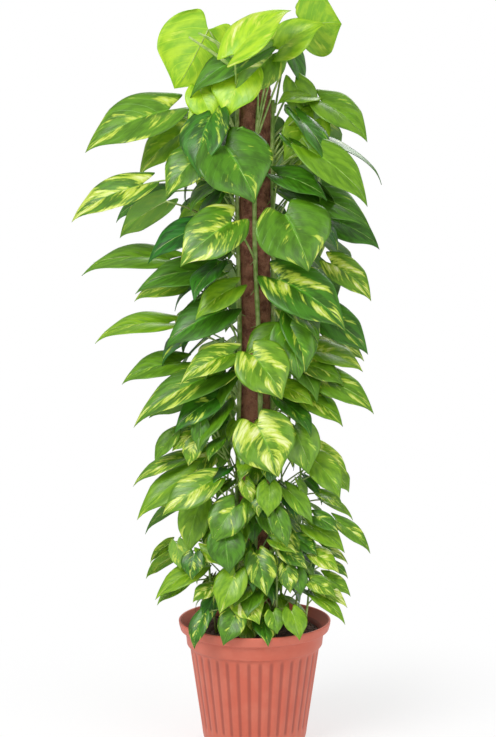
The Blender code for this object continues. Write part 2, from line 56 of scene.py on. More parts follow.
def makeCamera(look):
    data = bpy.data.cameras.new("camera")
    data.lens = look["lens"]
    data.sensor_width = look["sensor"]
    data.clip_end = look["reach"]
    camera = bpy.data.objects.new("camera", data)
    camera.location = look["place"]
    camera.rotation_euler = (math.radians(90 + look["pitch"]), 0, math.radians(look["turn"]))
    mainGroup.objects.link(camera)
    bpy.context.scene.camera = camera


makeCamera(cameraLook)
print("camera set")


# a socket that can be written into sums
class Wire:
    def __init__(self, graph, socket):
        self.graph = graph
        self.socket = socket

    def __add__(self, other):
        return self.graph.math("ADD", self, other)

    def __radd__(self, other):
        return self.graph.math("ADD", other, self)

    def __sub__(self, other):
        return self.graph.math("SUBTRACT", self, other)

    def __rsub__(self, other):
        return self.graph.math("SUBTRACT", other, self)

    def __mul__(self, other):
        return self.graph.math("MULTIPLY", self, other)

    def __rmul__(self, other):
        return self.graph.math("MULTIPLY", other, self)

    def output(self, key):
        return Wire(self.graph, self.socket.node.outputs[key])


# the node tree of a material or of the world
class Graph:
    def __init__(self, owner, outputKind="ShaderNodeOutputMaterial"):
        owner.use_nodes = True
        self.owner = owner
        self.tree = owner.node_tree
        self.tree.nodes.clear()
        self.target = self.tree.nodes.new(outputKind)

    def add(self, kind, settings=None, sockets=None, out=0):
        node = self.tree.nodes.new(kind)
        for key, value in (settings or {}).items():
            setattr(node, key, value)
        for key, value in (sockets or {}).items():
            if isinstance(value, Wire):
                self.tree.links.new(value.socket, node.inputs[key])
            else:
                node.inputs[key].default_value = value
        return Wire(self, node.outputs[out])

    def show(self, wire):
        self.tree.links.new(wire.socket, self.target.inputs["Surface"])
        return self.owner

    def math(self, operation, *values):
        return self.add("ShaderNodeMath", {"operation": operation}, dict(enumerate(values)))

    def clamped(self, value):
        return self.add("ShaderNodeClamp", {}, {"Value": value})

    def step(self, value, low, high):
        return self.add(
            "ShaderNodeMapRange",
            {"interpolation_type": "SMOOTHSTEP"},
            {"Value": value, "From Min": low, "From Max": high},
        )

    def mix(self, factor, first, second):
        first = first if isinstance(first, Wire) else (*first, 1)
        second = second if isinstance(second, Wire) else (*second, 1)
        return self.add("ShaderNodeMix", {"data_type": "RGBA"}, {0: factor, 6: first, 7: second}, 2)

    def vector(self, x, y, z):
        return self.add("ShaderNodeCombineXYZ", {}, {0: x, 1: y, 2: z})

    def objectPlace(self):
        return self.add("ShaderNodeTexCoord", {}, {}, 3)

    def split(self, place):
        x = self.add("ShaderNodeSeparateXYZ", {}, {0: place})
        return x, x.output(1), x.output(2)

    def noise(self, place, scale, detail=2.0, roughness=0.5):
        return self.add(
            "ShaderNodeTexNoise",
            {},
            {"Vector": place, "Scale": scale, "Detail": detail, "Roughness": roughness},
        )

    def attribute(self, name):
        return self.add("ShaderNodeAttribute", {"attribute_name": name}, {}, 2)

    def bump(self, height, strength, distance):
        return self.add(
            "ShaderNodeBump", {}, {"Height": height, "Strength": strength, "Distance": distance}
        )

    def finish(self, colour, roughness, normal=None, **fixed):
        sockets = {"Base Color": colour, "Roughness": roughness}
        if normal:
            sockets["Normal"] = normal
        sockets.update({key.replace("_", " "): value for key, value in fixed.items()})
        return self.show(self.add("ShaderNodeBsdfPrincipled", {}, sockets))


def materialGraph(name):
    return Graph(bpy.data.materials.new(name))


# leaf finish: blades streaked from the midrib towards the edge
leafLook = {
    "deep": (0.008, 0.066, 0.003),
    "green": (0.016, 0.160, 0.006),
    "bright": (0.050, 0.320, 0.010),
    "young": (0.240, 0.520, 0.006),
    "youngBright": (0.470, 0.720, 0.020),
    "yellow": (0.560, 0.690, 0.070),
    "cream": (0.820, 0.860, 0.420),
    "underGreen": (0.130, 0.290, 0.060),
    # young undersides: their own lighter green, with painted backlight (light shining through the blade) in
    # light patches and painted shade in dark ones
    "underYoungPaintedBacklight": (0.400, 0.620, 0.020),
    "underPaintedShade": (0.210, 0.450, 0.010),
    "veins": 8.0,  # lateral veins on each side
    "sweep": 0.42,  # how far a lateral vein runs forward on its way to the edge
    "sideShift": 0.37,  # keeps the two halves of a blade from mirroring each other
    "creamShare": 0.27,  # how much a blade's own cream value adds to the streaks
    "streak": (0.64, 0.72),
    "pale": (0.71, 0.82),
    "coat": 0.14,
    "coatRough": 0.22,
    "shine": 0.38,
}


def leafMaterial(name, under):
    look = leafLook
    graph = materialGraph(name)
    uv = graph.add("ShaderNodeUVMap", {"uv_map": "blade"})
    acrossShare, v = graph.split(uv)[:2]
    signed = acrossShare * 2 - 1
    u = graph.math("ABSOLUTE", signed)
    seed = graph.attribute("seed")
    cream = graph.attribute("cream")
    young = graph.attribute("young")
    side = graph.math("GREATER_THAN", signed, 0.0)
    run = v - u * look["sweep"] + side * look["sideShift"]
    # long streaks: fine across the veins, slow along them
    fine = graph.noise(graph.vector(run * 15, u * 2.2, seed * 31), 1.0, 3.0, 0.55)
    broad = graph.noise(graph.vector(run * 3.4, u * 1.1 + side * 5, seed * 17), 1.0, 1.0, 0.4)
    dapple = graph.noise(graph.vector(run * 40, u * 9, seed * 11), 1.0, 2.0, 0.6)
    level = fine * 0.42 + broad * 0.58 + (dapple - 0.5) * 0.10
    streak = graph.step(level + cream * look["creamShare"], *look["streak"])
    pale = graph.step(level + cream * look["creamShare"], *look["pale"])
    soft = graph.noise(graph.vector(run * 6, u * 3, seed * 23), 1.0, 2.0)
    if under:
        # painted backlight: the lighter and darker patches stand in for light shining through young blades
        glow = graph.step(soft * 0.5 + level * 0.5, 0.42, 0.60)
        fresh = graph.mix(glow, look["underPaintedShade"], look["underYoungPaintedBacklight"])
        plain = graph.mix(young, look["underGreen"], fresh)
    else:
        mature = graph.mix(graph.step(soft, 0.35, 0.62), look["deep"], look["green"])
        mature = graph.mix(graph.step(level, 0.54, 0.68) * 0.7, mature, look["bright"])
        fresh = graph.mix(graph.step(soft, 0.3, 0.7), look["young"], look["youngBright"])
        plain = graph.mix(young, mature, fresh)
    coloured = graph.mix(streak * 0.9, plain, look["yellow"])
    coloured = graph.mix(pale * (0.45 if under else 0.85), coloured, look["cream"])
    # midrib and lateral veins
    wave = graph.math("FRACT", (v - u * look["sweep"]) * look["veins"])
    lateral = graph.math("ABSOLUTE", wave - 0.5) * 2
    vein = graph.step(lateral, 0.86, 0.99)
    midrib = 1 - graph.step(u, 0.015, 0.06)
    line = graph.math("MAXIMUM", midrib * 0.55, vein * (0.5 if under else 0.2))
    ribColour = graph.mix(young, look["bright"], look["youngBright"])
    coloured = graph.mix(line, coloured, ribColour)
    height = (vein * (0.5 if under else -0.6)) + midrib * (0.8 if under else -0.9) + dapple * 0.12
    rough = graph.clamped(0.30 + dapple * 0.14 + (0.18 if under else 0.0))
    return graph.finish(
        coloured,
        rough,
        graph.bump(height, 0.35, 0.0012),
        Coat_Weight=0.0 if under else look["coat"],
        Coat_Roughness=look["coatRough"],
        Specular_IOR_Level=look["shine"],
    )


# green stems and stalks, with a few tan patches
stemLook = {
    "green": (0.22, 0.38, 0.06),
    "pale": (0.46, 0.58, 0.20),
    "tan": (0.20, 0.12, 0.045),
    "rough": 0.42,
}


def stemMaterial():
    graph = materialGraph("green stem")
    place = graph.objectPlace()
    mottle = graph.noise(place, 90, 3.0)
    age = graph.noise(place, 14, 2.0)
    colour = graph.mix(graph.step(mottle, 0.35, 0.7), stemLook["green"], stemLook["pale"])
    colour = graph.mix(graph.step(age, 0.60, 0.74) * 0.5, colour, stemLook["tan"])
    return graph.finish(colour, stemLook["rough"], graph.bump(mottle, 0.25, 0.0006))


leafTop = leafMaterial("leaf upper side", False)
leafUnder = leafMaterial("leaf underside", True)
stemGreen = stemMaterial()
print("leaf materials made")


# one blade and one stalk. Shares are of the blade's length, unless they say otherwise
bladeLook = {
    "lobe": 0.21,  # how far the lobes reach back past the stalk
    "lobeTurn": 2.3,  # the lobes' roundness
    "widen": 1.08,
    "arch": 0.07,
    "fold": 0.16,  # rise from the midrib to the edge, of the width
    "thick": 0.05,  # cm
    "quilt": 0.06,  # how far the blade swells between its lateral veins, cm
    "wave": 0.045,  # height of the edge's waves, of the width
    "roll": 0.10,  # how far the edges turn down again
    "tipDrop": 0.05,
    "droop": 0.05,
    "droopMore": 0.07,  # the most that a blade's own droop adds
    "sideBend": 0.055,
    "drip": 0.62,  # how much the last stretch narrows into the drip tip
    "dripFrom": 0.6,
}
stalkLook = {"radius": 0.15, "shootRadius": 0.11, "lift": 0.14, "gap": 0.03}


def point(values):
    return Vector(values) * cm


def direction(azimuth, elevation=0.0):
    turn = math.radians(azimuth)
    rise = math.radians(elevation)
    level = math.cos(rise)
    return Vector((level * math.sin(turn), -level * math.cos(turn), math.sin(rise)))


def outline(v):
    start = bladeLook["dripFrom"]
    drip = 1 - bladeLook["drip"] * max(0, (v - start) / (1 - start)) ** 1.1
    return (v + 0.05) ** 0.46 * (1 - v) ** 0.82 / 0.465 * drip


def bladeAxes(leaf):
    base, tip, width, facing = leaf
    along = (point(tip) - point(base)).normalized()
    up = direction(*facing)
    up = (up - along * up.dot(along)).normalized()
    return along, along.cross(up), up


def bladePlace(leaf, u, v, seed=None):
    base, tip, width, facing = leaf
    along, side, up = bladeAxes(leaf)
    length = (point(tip) - point(base)).length
    half = width * cm / 2 * bladeLook["widen"]
    across = u * half * outline(v)
    lobe = bladeLook["lobe"] * math.sin(bladeLook["lobeTurn"] * abs(u)) ** 1.3
    reach = length * (v - lobe * (1 - v) ** 3)
    height = length * bladeLook["arch"] * 4 * v * (1 - v) + bladeLook["fold"] * abs(across)
    if seed is not None:
        run = (v - abs(u) * leafLook["sweep"]) * leafLook["veins"]
        swell = abs(math.sin(math.pi * run)) * min(1, 4 * abs(u)) * (1 - abs(u) ** 4)
        height += bladeLook["quilt"] * cm * swell * min(1, width / 6)
        ripple = math.sin(v * 9 + seed * 40 + (2.1 if u > 0 else 0)) * abs(u) ** 3
        height += bladeLook["wave"] * width * cm * ripple * (1 - v)
        height -= bladeLook["roll"] * abs(u) ** 3 * half * outline(v)
        height -= bladeLook["tipDrop"] * length * max(0, (v - 0.8) / 0.2) ** 2
        sag = bladeLook["droop"] + bladeLook["droopMore"] * math.sin(seed * 70) ** 2
        height -= length * sag * v**3
        across += length * bladeLook["sideBend"] * math.sin(seed * 50) * v**2
    return point(base) + along * reach + side * across + up * height


def addBlade(bm, leaf, seed, cream, young, across, lengthwise):
    layers = [bm.verts.layers.float[name] for name in ("seed", "cream", "young")]
    uv = bm.loops.layers.uv["blade"]
    made = bmesh.ops.create_grid(bm, x_segments=across, y_segments=lengthwise, size=1)
    verts = made["verts"]
    places = {}
    for vert in verts:
        u = math.copysign(abs(vert.co.x) ** 0.85, vert.co.x)
        v = ((vert.co.y + 1) / 2) ** 1.2
        places[vert] = (u, v)
        vert.co = bladePlace(leaf, u, v, seed)
        for layer, value in zip(layers, (seed, cream, young)):
            vert[layer] = value
    faces = list(dict.fromkeys(face for vert in verts for face in vert.link_faces))
    for face in faces:
        for loop in face.loops:
            u, v = places[loop.vert]
            loop[uv].uv = (u / 2 + 0.5, v)
        face.smooth = True
    up = bladeAxes(leaf)[2]
    if sum(face.normal.dot(up) for face in refreshed(faces)) < 0:
        bmesh.ops.reverse_faces(bm, faces=faces)
    thick = bladeLook["thick"] * cm
    made = bmesh.ops.solidify(bm, geom=faces, thickness=thick)
    below = [item for item in made["geom"] if isinstance(item, bmesh.types.BMFace)]
    for face in refreshed(dict.fromkeys(faces + below)):
        face.smooth = True
        if face.normal.dot(up) < -0.05:
            face.material_index = 1


def refreshed(faces):
    for face in faces:
        face.normal_update()
    return faces


def addTube(bm, points, radii, sides=8, material=2):
    rings = []
    for index, centre in enumerate(points):
        before = points[max(index - 1, 0)]
        after = points[min(index + 1, len(points) - 1)]
        aim = (after - before).normalized()
        turn = Vector((0, 0, 1)).rotation_difference(aim).to_matrix().to_4x4()
        turn.translation = centre
        ring = bmesh.ops.create_circle(bm, segments=sides, radius=radii[index], matrix=turn)["verts"]
        edges = list(dict.fromkeys(edge for vert in ring for edge in vert.link_edges))
        rings.append((ring, edges))
    made = []
    for lower, higher in zip(rings, rings[1:]):
        made += bmesh.ops.bridge_loops(bm, edges=lower[1] + higher[1])["faces"]
    made += [bm.faces.new(ring[0]) for ring in (rings[0], rings[-1])]
    bmesh.ops.recalc_face_normals(bm, faces=made)
    for face in made:
        face.material_index = material
        face.smooth = True


def stalkPath(start, end, steps):
    crown = (start + end) / 2 + Vector((0, 0, (end - start).length * stalkLook["lift"]))
    path = []
    for step in range(steps + 1):
        t = step / steps
        path.append(start * (1 - t) ** 2 + crown * (2 * t * (1 - t)) + end * t**2)
    return path


def addStalk(bm, leaf, path, radius):
    up = bladeAxes(leaf)[2]
    path = list(path)
    radii = [radius * cm * (1.15 - 0.25 * i / len(path)) for i in range(len(path))]
    for v in (0.12, 0.3, 0.5, 0.7, 0.86):
        thick = radius * cm * (0.55 - 0.5 * v)
        path.append(bladePlace(leaf, 0, v, 0.0) - up * thick * 0.8)
        radii.append(thick)
    addTube(bm, path, radii)


def newPiece():
    bm = bmesh.new()
    for name in ("seed", "cream", "young"):
        bm.verts.layers.float.new(name)
    bm.loops.layers.uv.new("blade")
    return bm


def finishPiece(bm, name, replaced, materials):
    mesh = bpy.data.meshes.new(name)
    bm.to_mesh(mesh)
    bm.free()
    for material in materials:
        mesh.materials.append(material)
    piece = bpy.data.objects.new(name, mesh)
    mainGroup.objects.link(piece)
    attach(piece, "root")
    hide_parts(replaced)


plantMaterials = [leafTop, leafUnder, stemGreen]


# climbing stems, in the places the part gives them
vineLook = {
    "radius": 0.4,
    "poleRadius": 2.45,
    "gap": 0.05,
    "step": 1.5,
    "swing": 9.0,  # degrees from side to side
    "soil": 18.23,
    "knotStep": 7.5,
    "knotSwell": 0.16,
}
# name: (azimuth, top)
vines = {
    "left_vine": (-62, 103.5),
    "front_vine": (8, 100.0),
    "right_vine": (76, 101.0),
    "back_left_vine": (-142, 104.0),
    "back_right_vine": (146, 101.0),
}


def upTo(height):
    return Vector((0, 0, height * cm))


def vinePlace(name, height):
    azimuth = vines[name][0]
    swing = vineLook["swing"] * math.sin(height / 9.0 + azimuth)
    radius = vineLook["poleRadius"] + vineLook["radius"] + vineLook["gap"]
    return direction(azimuth + swing) * (radius * cm) + upTo(height)


def vineSide(name, height, target, off):
    centre = vinePlace(name, height)
    out = target - centre
    out.z = 0
    return centre + out.normalized() * (off * cm)


def addVine(bm, name):
    foot, top = vineLook["soil"], vines[name][1]
    count = round((top - foot) / vineLook["step"])
    path = []
    radii = []
    for index in range(count + 1):
        height = foot + (top - foot) * index / count
        path.append(vinePlace(name, height))
        past = (height + vines[name][0]) % vineLook["knotStep"] - 3.7
        knot = 1.0 + vineLook["knotSwell"] * math.exp(-((past / 0.7) ** 2))
        radii.append(vineLook["radius"] * cm * knot * (0.97 - 0.2 * index / count))
    addTube(bm, path, radii, 12)


def addRoots(bm, name, rng):
    # short aerial roots that grip the coir
    height = 24.0
    while height < vines[name][1] - 4:
        start = vinePlace(name, height)
        turn = rng.choice((-1, 1))
        away = math.degrees(math.atan2(start.x, -start.y)) + turn * rng.uniform(14, 26)
        end = direction(away) * (vineLook["poleRadius"] + 0.06) * cm
        end += upTo(height - rng.uniform(0.4, 1.6))
        middle = (start + end) / 2 * 1.03
        middle.z = (start.z + end.z) / 2
        addTube(bm, [start, middle, end], [0.0009, 0.0007, 0.0004], 5)
        height += rng.uniform(3.5, 7.5)


# undergrowth: smaller leaves on short stalks that close the gaps near the pole
# vine, lowest, highest, step, azimuth from, azimuth to, nearest reach, furthest, smallest size, largest
thicketRows = [
    ("left_vine", 20, 52, 0.95, -92, 8, 4.6, 10.5, 3.2, 5.4),
    ("left_vine", 54, 99, 2.9, -115, -34, 6.0, 11.0, 7.5, 10.5),
    ("front_vine", 20, 51, 1.0, -34, 36, 4.2, 9.0, 3.2, 5.2),
    ("right_vine", 20, 52, 0.95, -8, 94, 4.6, 10.5, 3.2, 5.4),
    ("right_vine", 54, 99, 2.9, 36, 118, 6.0, 11.0, 7.5, 10.5),
    ("back_left_vine", 22, 52, 2.2, -176, -96, 4.6, 9.0, 3.6, 6.0),
    ("back_left_vine", 54, 99, 3.6, -178, -118, 5.0, 8.0, 7.0, 9.0),
    ("back_right_vine", 22, 52, 2.2, 96, 176, 4.6, 9.0, 3.6, 6.0),
    ("back_right_vine", 54, 99, 3.6, 118, 178, 5.0, 8.0, 7.0, 9.0),
]
thicketLook = {
    "grown": 7,  # a blade longer than this is a mature one
    "grownCells": 14,
    "smallCells": 9,
}


def smoothPath(points, steps):
    ends = [points[0] * 2 - points[1], *points, points[-1] * 2 - points[-2]]
    path = []
    for a, b, c, d in zip(ends, ends[1:], ends[2:], ends[3:]):
        for step in range(steps):
            t = step / steps
            bend = (2 * a - 5 * b + 4 * c - d) * t**2
            twist = (3 * b - a - 3 * c + d) * t**3
            path.append(0.5 * (2 * b + (c - a) * t + bend + twist))
    path.append(points[-1])
    return path


def leafOutward(azimuth, height, reach, length, width, droop):
    base = direction(azimuth) * reach + Vector((0, 0, height))
    tip = base + direction(azimuth, -droop) * length
    return (tuple(base), tuple(tip), width, (azimuth, 90 - droop))


# leaves that close the crown: vine, height on it, base, tip, width, facing, cream, young
crownRows = [
    ("left_vine", 98, (-1.6, -5, 105.4), (-4.4, -7.5, 98.4), 7.5, (-15, 30), 0.3, 0.9),
    ("left_vine", 96, (-8.3, -4, 102.6), (-6.4, -6, 97.6), 5, (-10, 30), 0.35, 0.9),
    ("front_vine", 97, (2.6, -4.6, 107.8), (-2.8, -7, 101.6), 6, (10, 12), 0.42, 0.3),
    ("front_vine", 96, (3.6, -5, 108.4), (10.0, -6.5, 112.6), 6.5, (-5, 40), 0.25, 0.7),
    ("right_vine", 97, (6.0, -1.6, 103.6), (8.2, -2.4, 97.2), 5, (20, 20), 0.1, 0.4),
    ("right_vine", 92, (9.0, -2.5, 98.0), (4.8, -4.5, 91.8), 6.5, (15, 25), 0.1, 0.55),
]
# rolled new leaves, as points along each
budRows = [
    ((-2.6, -5, 106.2), (-5.2, -6, 109.0), (-8.4, -6.4, 110.8)),
    ((-2.8, -5, 105.0), (-5.0, -6, 107.0), (-9.8, -6.8, 110.2)),
]


def addLeaf(bm, leaf, start, seed, cream, young, cells, steps, radius):
    addBlade(bm, leaf, seed, cream, young, cells, cells)
    addStalk(bm, leaf, stalkPath(start, bladePlace(leaf, 0, 0.02), steps), radius)


def addCrown(bm, name, rng):
    for vine, height, base, tip, width, facing, cream, young in crownRows:
        if vine == name:
            start = vineSide(name, height, point(base), 0.1)
            leaf = (base, tip, width, facing)
            addLeaf(bm, leaf, start, rng.random(), cream, young, 18, 7, stalkLook["radius"])


def addBuds(bm, name):
    for bud in budRows:
        path = smoothPath([vinePlace(name, 102), *(point(spot) for spot in bud)], 5)
        shares = [min(1, 1.02 * index / len(path)) for index in range(len(path))]
        addTube(bm, path, [0.0012 + 0.0016 * math.sin(math.pi * share) for share in shares])


def addThicket(bm, name, rng):
    for vine, low, high, step, fromTurn, toTurn, near, far, small, large in thicketRows:
        height = low if vine == name else high
        while height < high:
            turn = fromTurn + (toTurn - fromTurn) * rng.random()
            size = rng.uniform(small, large)
            reach = rng.uniform(near, far) * 0.9
            droop = rng.uniform(25, 68)
            spread = turn + rng.uniform(-35, 35)
            base = direction(turn) * reach + Vector((0, 0, height + rng.uniform(0.5, 2.5)))
            tip = base + direction(spread, -droop) * size
            width = size * rng.uniform(0.6, 0.76)
            leaf = (tuple(base), tuple(tip), width, (spread, 90 - droop + rng.uniform(-12, 12)))
            grown = size > thicketLook["grown"]
            cream = rng.uniform(0.0, 0.35 if grown else 0.55)
            young = rng.uniform(0.0, 0.25 if grown else 0.5)
            cells = thicketLook["grownCells" if grown else "smallCells"]
            seed = rng.random()
            start = vineSide(name, max(low - 1, height - rng.uniform(1, 5)), point(base), 0.1)
            addLeaf(bm, leaf, start, seed, cream, young, cells, 5, stalkLook["shootRadius"])
            height += step * rng.uniform(0.7, 1.3)


for name in ("left_vine", "front_vine", "right_vine"):
    bm = newPiece()
    addVine(bm, name)
    addRoots(bm, name, random.Random(name))
    rng = random.Random(name + " leaves")
    addCrown(bm, name, rng)
    if name == "left_vine":
        addBuds(bm, name)
    addThicket(bm, name, rng)
    finishPiece(bm, name + "_stem", name, plantMaterials)
print("climbing stems made")


# the large leaves
# name, vine, height on the vine, base, tip, width, facing (azimuth, elevation), cream, young
leafRows = [
    ("crown_leaf_1", "left_vine", 102.5, (-7, -2.5, 111.5), (-11.8, -4, 102.3), 12, (165, 20), 0.12, 1),
    ("crown_leaf_2", "left_vine", 97.8, (-3, -11.5, 107.5), (5, -10, 114.5), 8, (-35, 40), 0.5, 0.95),
    ("crown_leaf_3", "front_vine", 96, (7.5, -4, 112), (13, -5.5, 112.5), 10, (170, 20), 0.2, 0.75),
    ("crown_leaf_4", "right_vine", 99, (5, -0.5, 109), (7.4, -0.5, 102.5), 5, (60, 10), 0, 0.1),
    ("crown_leaf_5", "front_vine", 98, (0.5, -4.4, 108.2), (-10.3, -5.6, 102.4), 5.8, (0, 50), 0.1, 0.15),
    ("crown_leaf_6", "left_vine", 96, (-5.2, -3, 101.4), (-10.4, -5.5, 98.2), 5, (-10, 32), 0.25, 0.85),
    ("crown_leaf_7", "right_vine", 93, (8.5, -2, 101.5), (3.3, -5, 101), 4.5, (10, 60), 0.1, 0.5),
    ("crown_leaf_8", "right_vine", 91, (10, -2, 100.8), (17, -5, 95.3), 6.5, (20, 45), 0.1, 0.35),
    ("crown_leaf_9", "right_vine", 88, (10, -3.5, 95), (19.8, -4.5, 89.5), 5, (0, 85), 0.2, 0.1),
    ("upper_leaf_1", "left_vine", 92, (-13, -3, 99.5), (-25.8, -5, 94), 8.5, (-10, 42), 0.5, 0.25),
    ("upper_leaf_2", "left_vine", 89, (-10.5, 0, 96.5), (-18, -1, 90), 6, (-20, 35), 0.45, 0.5),
    ("upper_leaf_3", "left_vine", 87, (-4.5, -9, 94.2), (0.3, -12, 86.3), 11, (5, 35), 0.35, 0.15),
    ("upper_leaf_4", "left_vine", 85, (-8, -6, 93), (-13.5, -8, 87), 6.5, (-15, 35), 0.5, 0.2),
    ("upper_leaf_5", "left_vine", 88, (-17, -5, 88.3), (-28, -6, 83.6), 5.5, (-10, 40), 0.75, 0.2),
    ("upper_leaf_6", "left_vine", 86, (-14, 3, 86.8), (-22, 3, 83), 5, (-20, 50), 0.1, 0.1),
    ("upper_leaf_7", "left_vine", 80, (-13.5, -4, 85.8), (-20.9, -7, 80.8), 4.5, (170, 30), 0.3, 0.3),
    ("upper_leaf_8", "left_vine", 78.8, (-6, 1, 84.2), (-13, 0.5, 81), 5.5, (-10, 40), 0.25, 0.5),
    ("upper_leaf_9", "left_vine", 77, (-7.5, -8, 82.3), (-16.2, -11, 77.9), 5.5, (-10, 50), 0.1, 0),
    ("upper_leaf_10", "front_vine", 77, (-3.5, -10, 83), (-11, -13.5, 77.2), 8, (5, 40), 0.62, 0.2),
    ("upper_leaf_11", "right_vine", 79, (4.5, -9, 84), (8.3, -12, 76.2), 11, (5, 35), 0.38, 0.2),
    ("upper_leaf_12", "right_vine", 86.5, (8.5, 3.5, 95.5), (4.5, 2.5, 90.5), 5.5, (10, 35), 0.35, 0.4),
    ("upper_leaf_13", "right_vine", 90, (8, -8, 93.6), (17.2, -11, 86.3), 6.5, (15, 40), 0.15, 0.35),
    ("upper_leaf_14", "right_vine", 83.5, (3.5, -6.6, 89.8), (11, -8.6, 86.8), 5, (5, 50), 0.1, 0.1),
    ("upper_leaf_15", "right_vine", 81.5, (5.8, -2.5, 87.3), (18, -5, 82.6), 7.5, (10, 50), 0.2, 0.15),
    ("upper_leaf_16", "back_right_vine", 77, (11, 1, 83), (19.5, 0, 78.9), 6, (15, 40), 0.1, 0.1),
    ("middle_leaf_1", "left_vine", 72, (-13.2, -2, 76.8), (-26.5, -3, 76.4), 5.5, (-5, 55), 0.15, 0.3),
    ("middle_leaf_2", "left_vine", 70, (-6.5, -5, 75.4), (-18.2, -7, 73.6), 5.5, (-10, 45), 0.1, 0.15),
    ("middle_leaf_3", "left_vine", 67.5, (-10.5, -1, 73), (-18.8, -1, 71.4), 4.5, (-20, 45), 0.45, 0.4),
    ("middle_leaf_4", "left_vine", 66, (-3, -7, 73), (-9.3, -9, 69), 4.5, (-10, 35), 0.25, 0.5),
    ("middle_leaf_5", "left_vine", 62, (-13.3, -2, 67), (-24.7, -3, 65.6), 5, (-10, 60), 0.3, 0.5),
    ("middle_leaf_6", "left_vine", 63.5, (-4.5, -5, 69.3), (-14, -7, 64.8), 6.5, (-10, 40), 0.05, 0.1),
    ("middle_leaf_7", "front_vine", 58, (-3.3, -9, 63.2), (-11.5, -11, 59.8), 5, (0, 50), 0.6, 0.3),
    ("middle_leaf_8", "left_vine", 55.5, (-11.5, -2, 61), (-20.7, -3, 58.8), 5, (-10, 50), 0.2, 0.3),
    ("middle_leaf_9", "left_vine", 53, (-5, -6, 59.8), (-19, -9, 53.6), 6, (-15, 45), 0.5, 0.2),
    ("middle_leaf_10", "right_vine", 68, (3.5, -8, 74.3), (14, -11, 67.8), 9, (10, 40), 0.4, 0.1),
    ("middle_leaf_11", "right_vine", 63.5, (9.8, -3, 68.8), (17.7, -5, 63.3), 6, (10, 40), 0.2, 0.1),
    ("middle_leaf_12", "right_vine", 70.5, (11.7, -2, 76.2), (18.3, -3, 71.2), 5.5, (20, 40), 0.5, 0.3),
    ("middle_leaf_13", "right_vine", 60, (5, -8, 66.5), (7, -10, 59.5), 6.5, (5, 30), 0.05, 0.2),
    ("middle_leaf_14", "front_vine", 56, (-0.3, -11, 63.2), (4.5, -13, 57.2), 8, (0, 40), 0.42, 0.35),
    ("middle_leaf_15", "right_vine", 53, (9.5, -3, 58.8), (18.7, -5, 54.5), 5.5, (15, 45), 0.35, 0.3),
    ("middle_leaf_16", "front_vine", 46, (0.3, -10, 52.5), (4, -12.5, 45.3), 9, (0, 35), 0.6, 0.3),
    ("middle_leaf_17", "right_vine", 45, (6, -7, 51.5), (8.6, -9, 45), 6, (10, 30), 0.15, 0.35),
]


# cells across and along a large blade
largeLook = {"across": 20, "along": 22}


def nameSeed(name):
    total = 7
    for letter in name:
        total = (total * 31 + ord(letter)) % 100003
    return (total % 997) / 997


def bigLeaf(name, vine, height, base, tip, width, facing, cream, young):
    leaf = (base, tip, width, facing)
    bm = newPiece()
    addBlade(bm, leaf, nameSeed(name), cream, young, largeLook["across"], largeLook["along"])
    under = bladeAxes(leaf)[2] * (stalkLook["radius"] * 0.7 * cm)
    skin = vineLook["radius"] + stalkLook["gap"]
    path = stalkPath(vineSide(vine, height, point(base), skin - 0.12), point(base) - under, 10)
    addStalk(bm, leaf, path, stalkLook["radius"])
    finishPiece(bm, name + "_fine", name, plantMaterials)


for row in leafRows:
    bigLeaf(*row)
print("large leaves made:", len(leafRows))


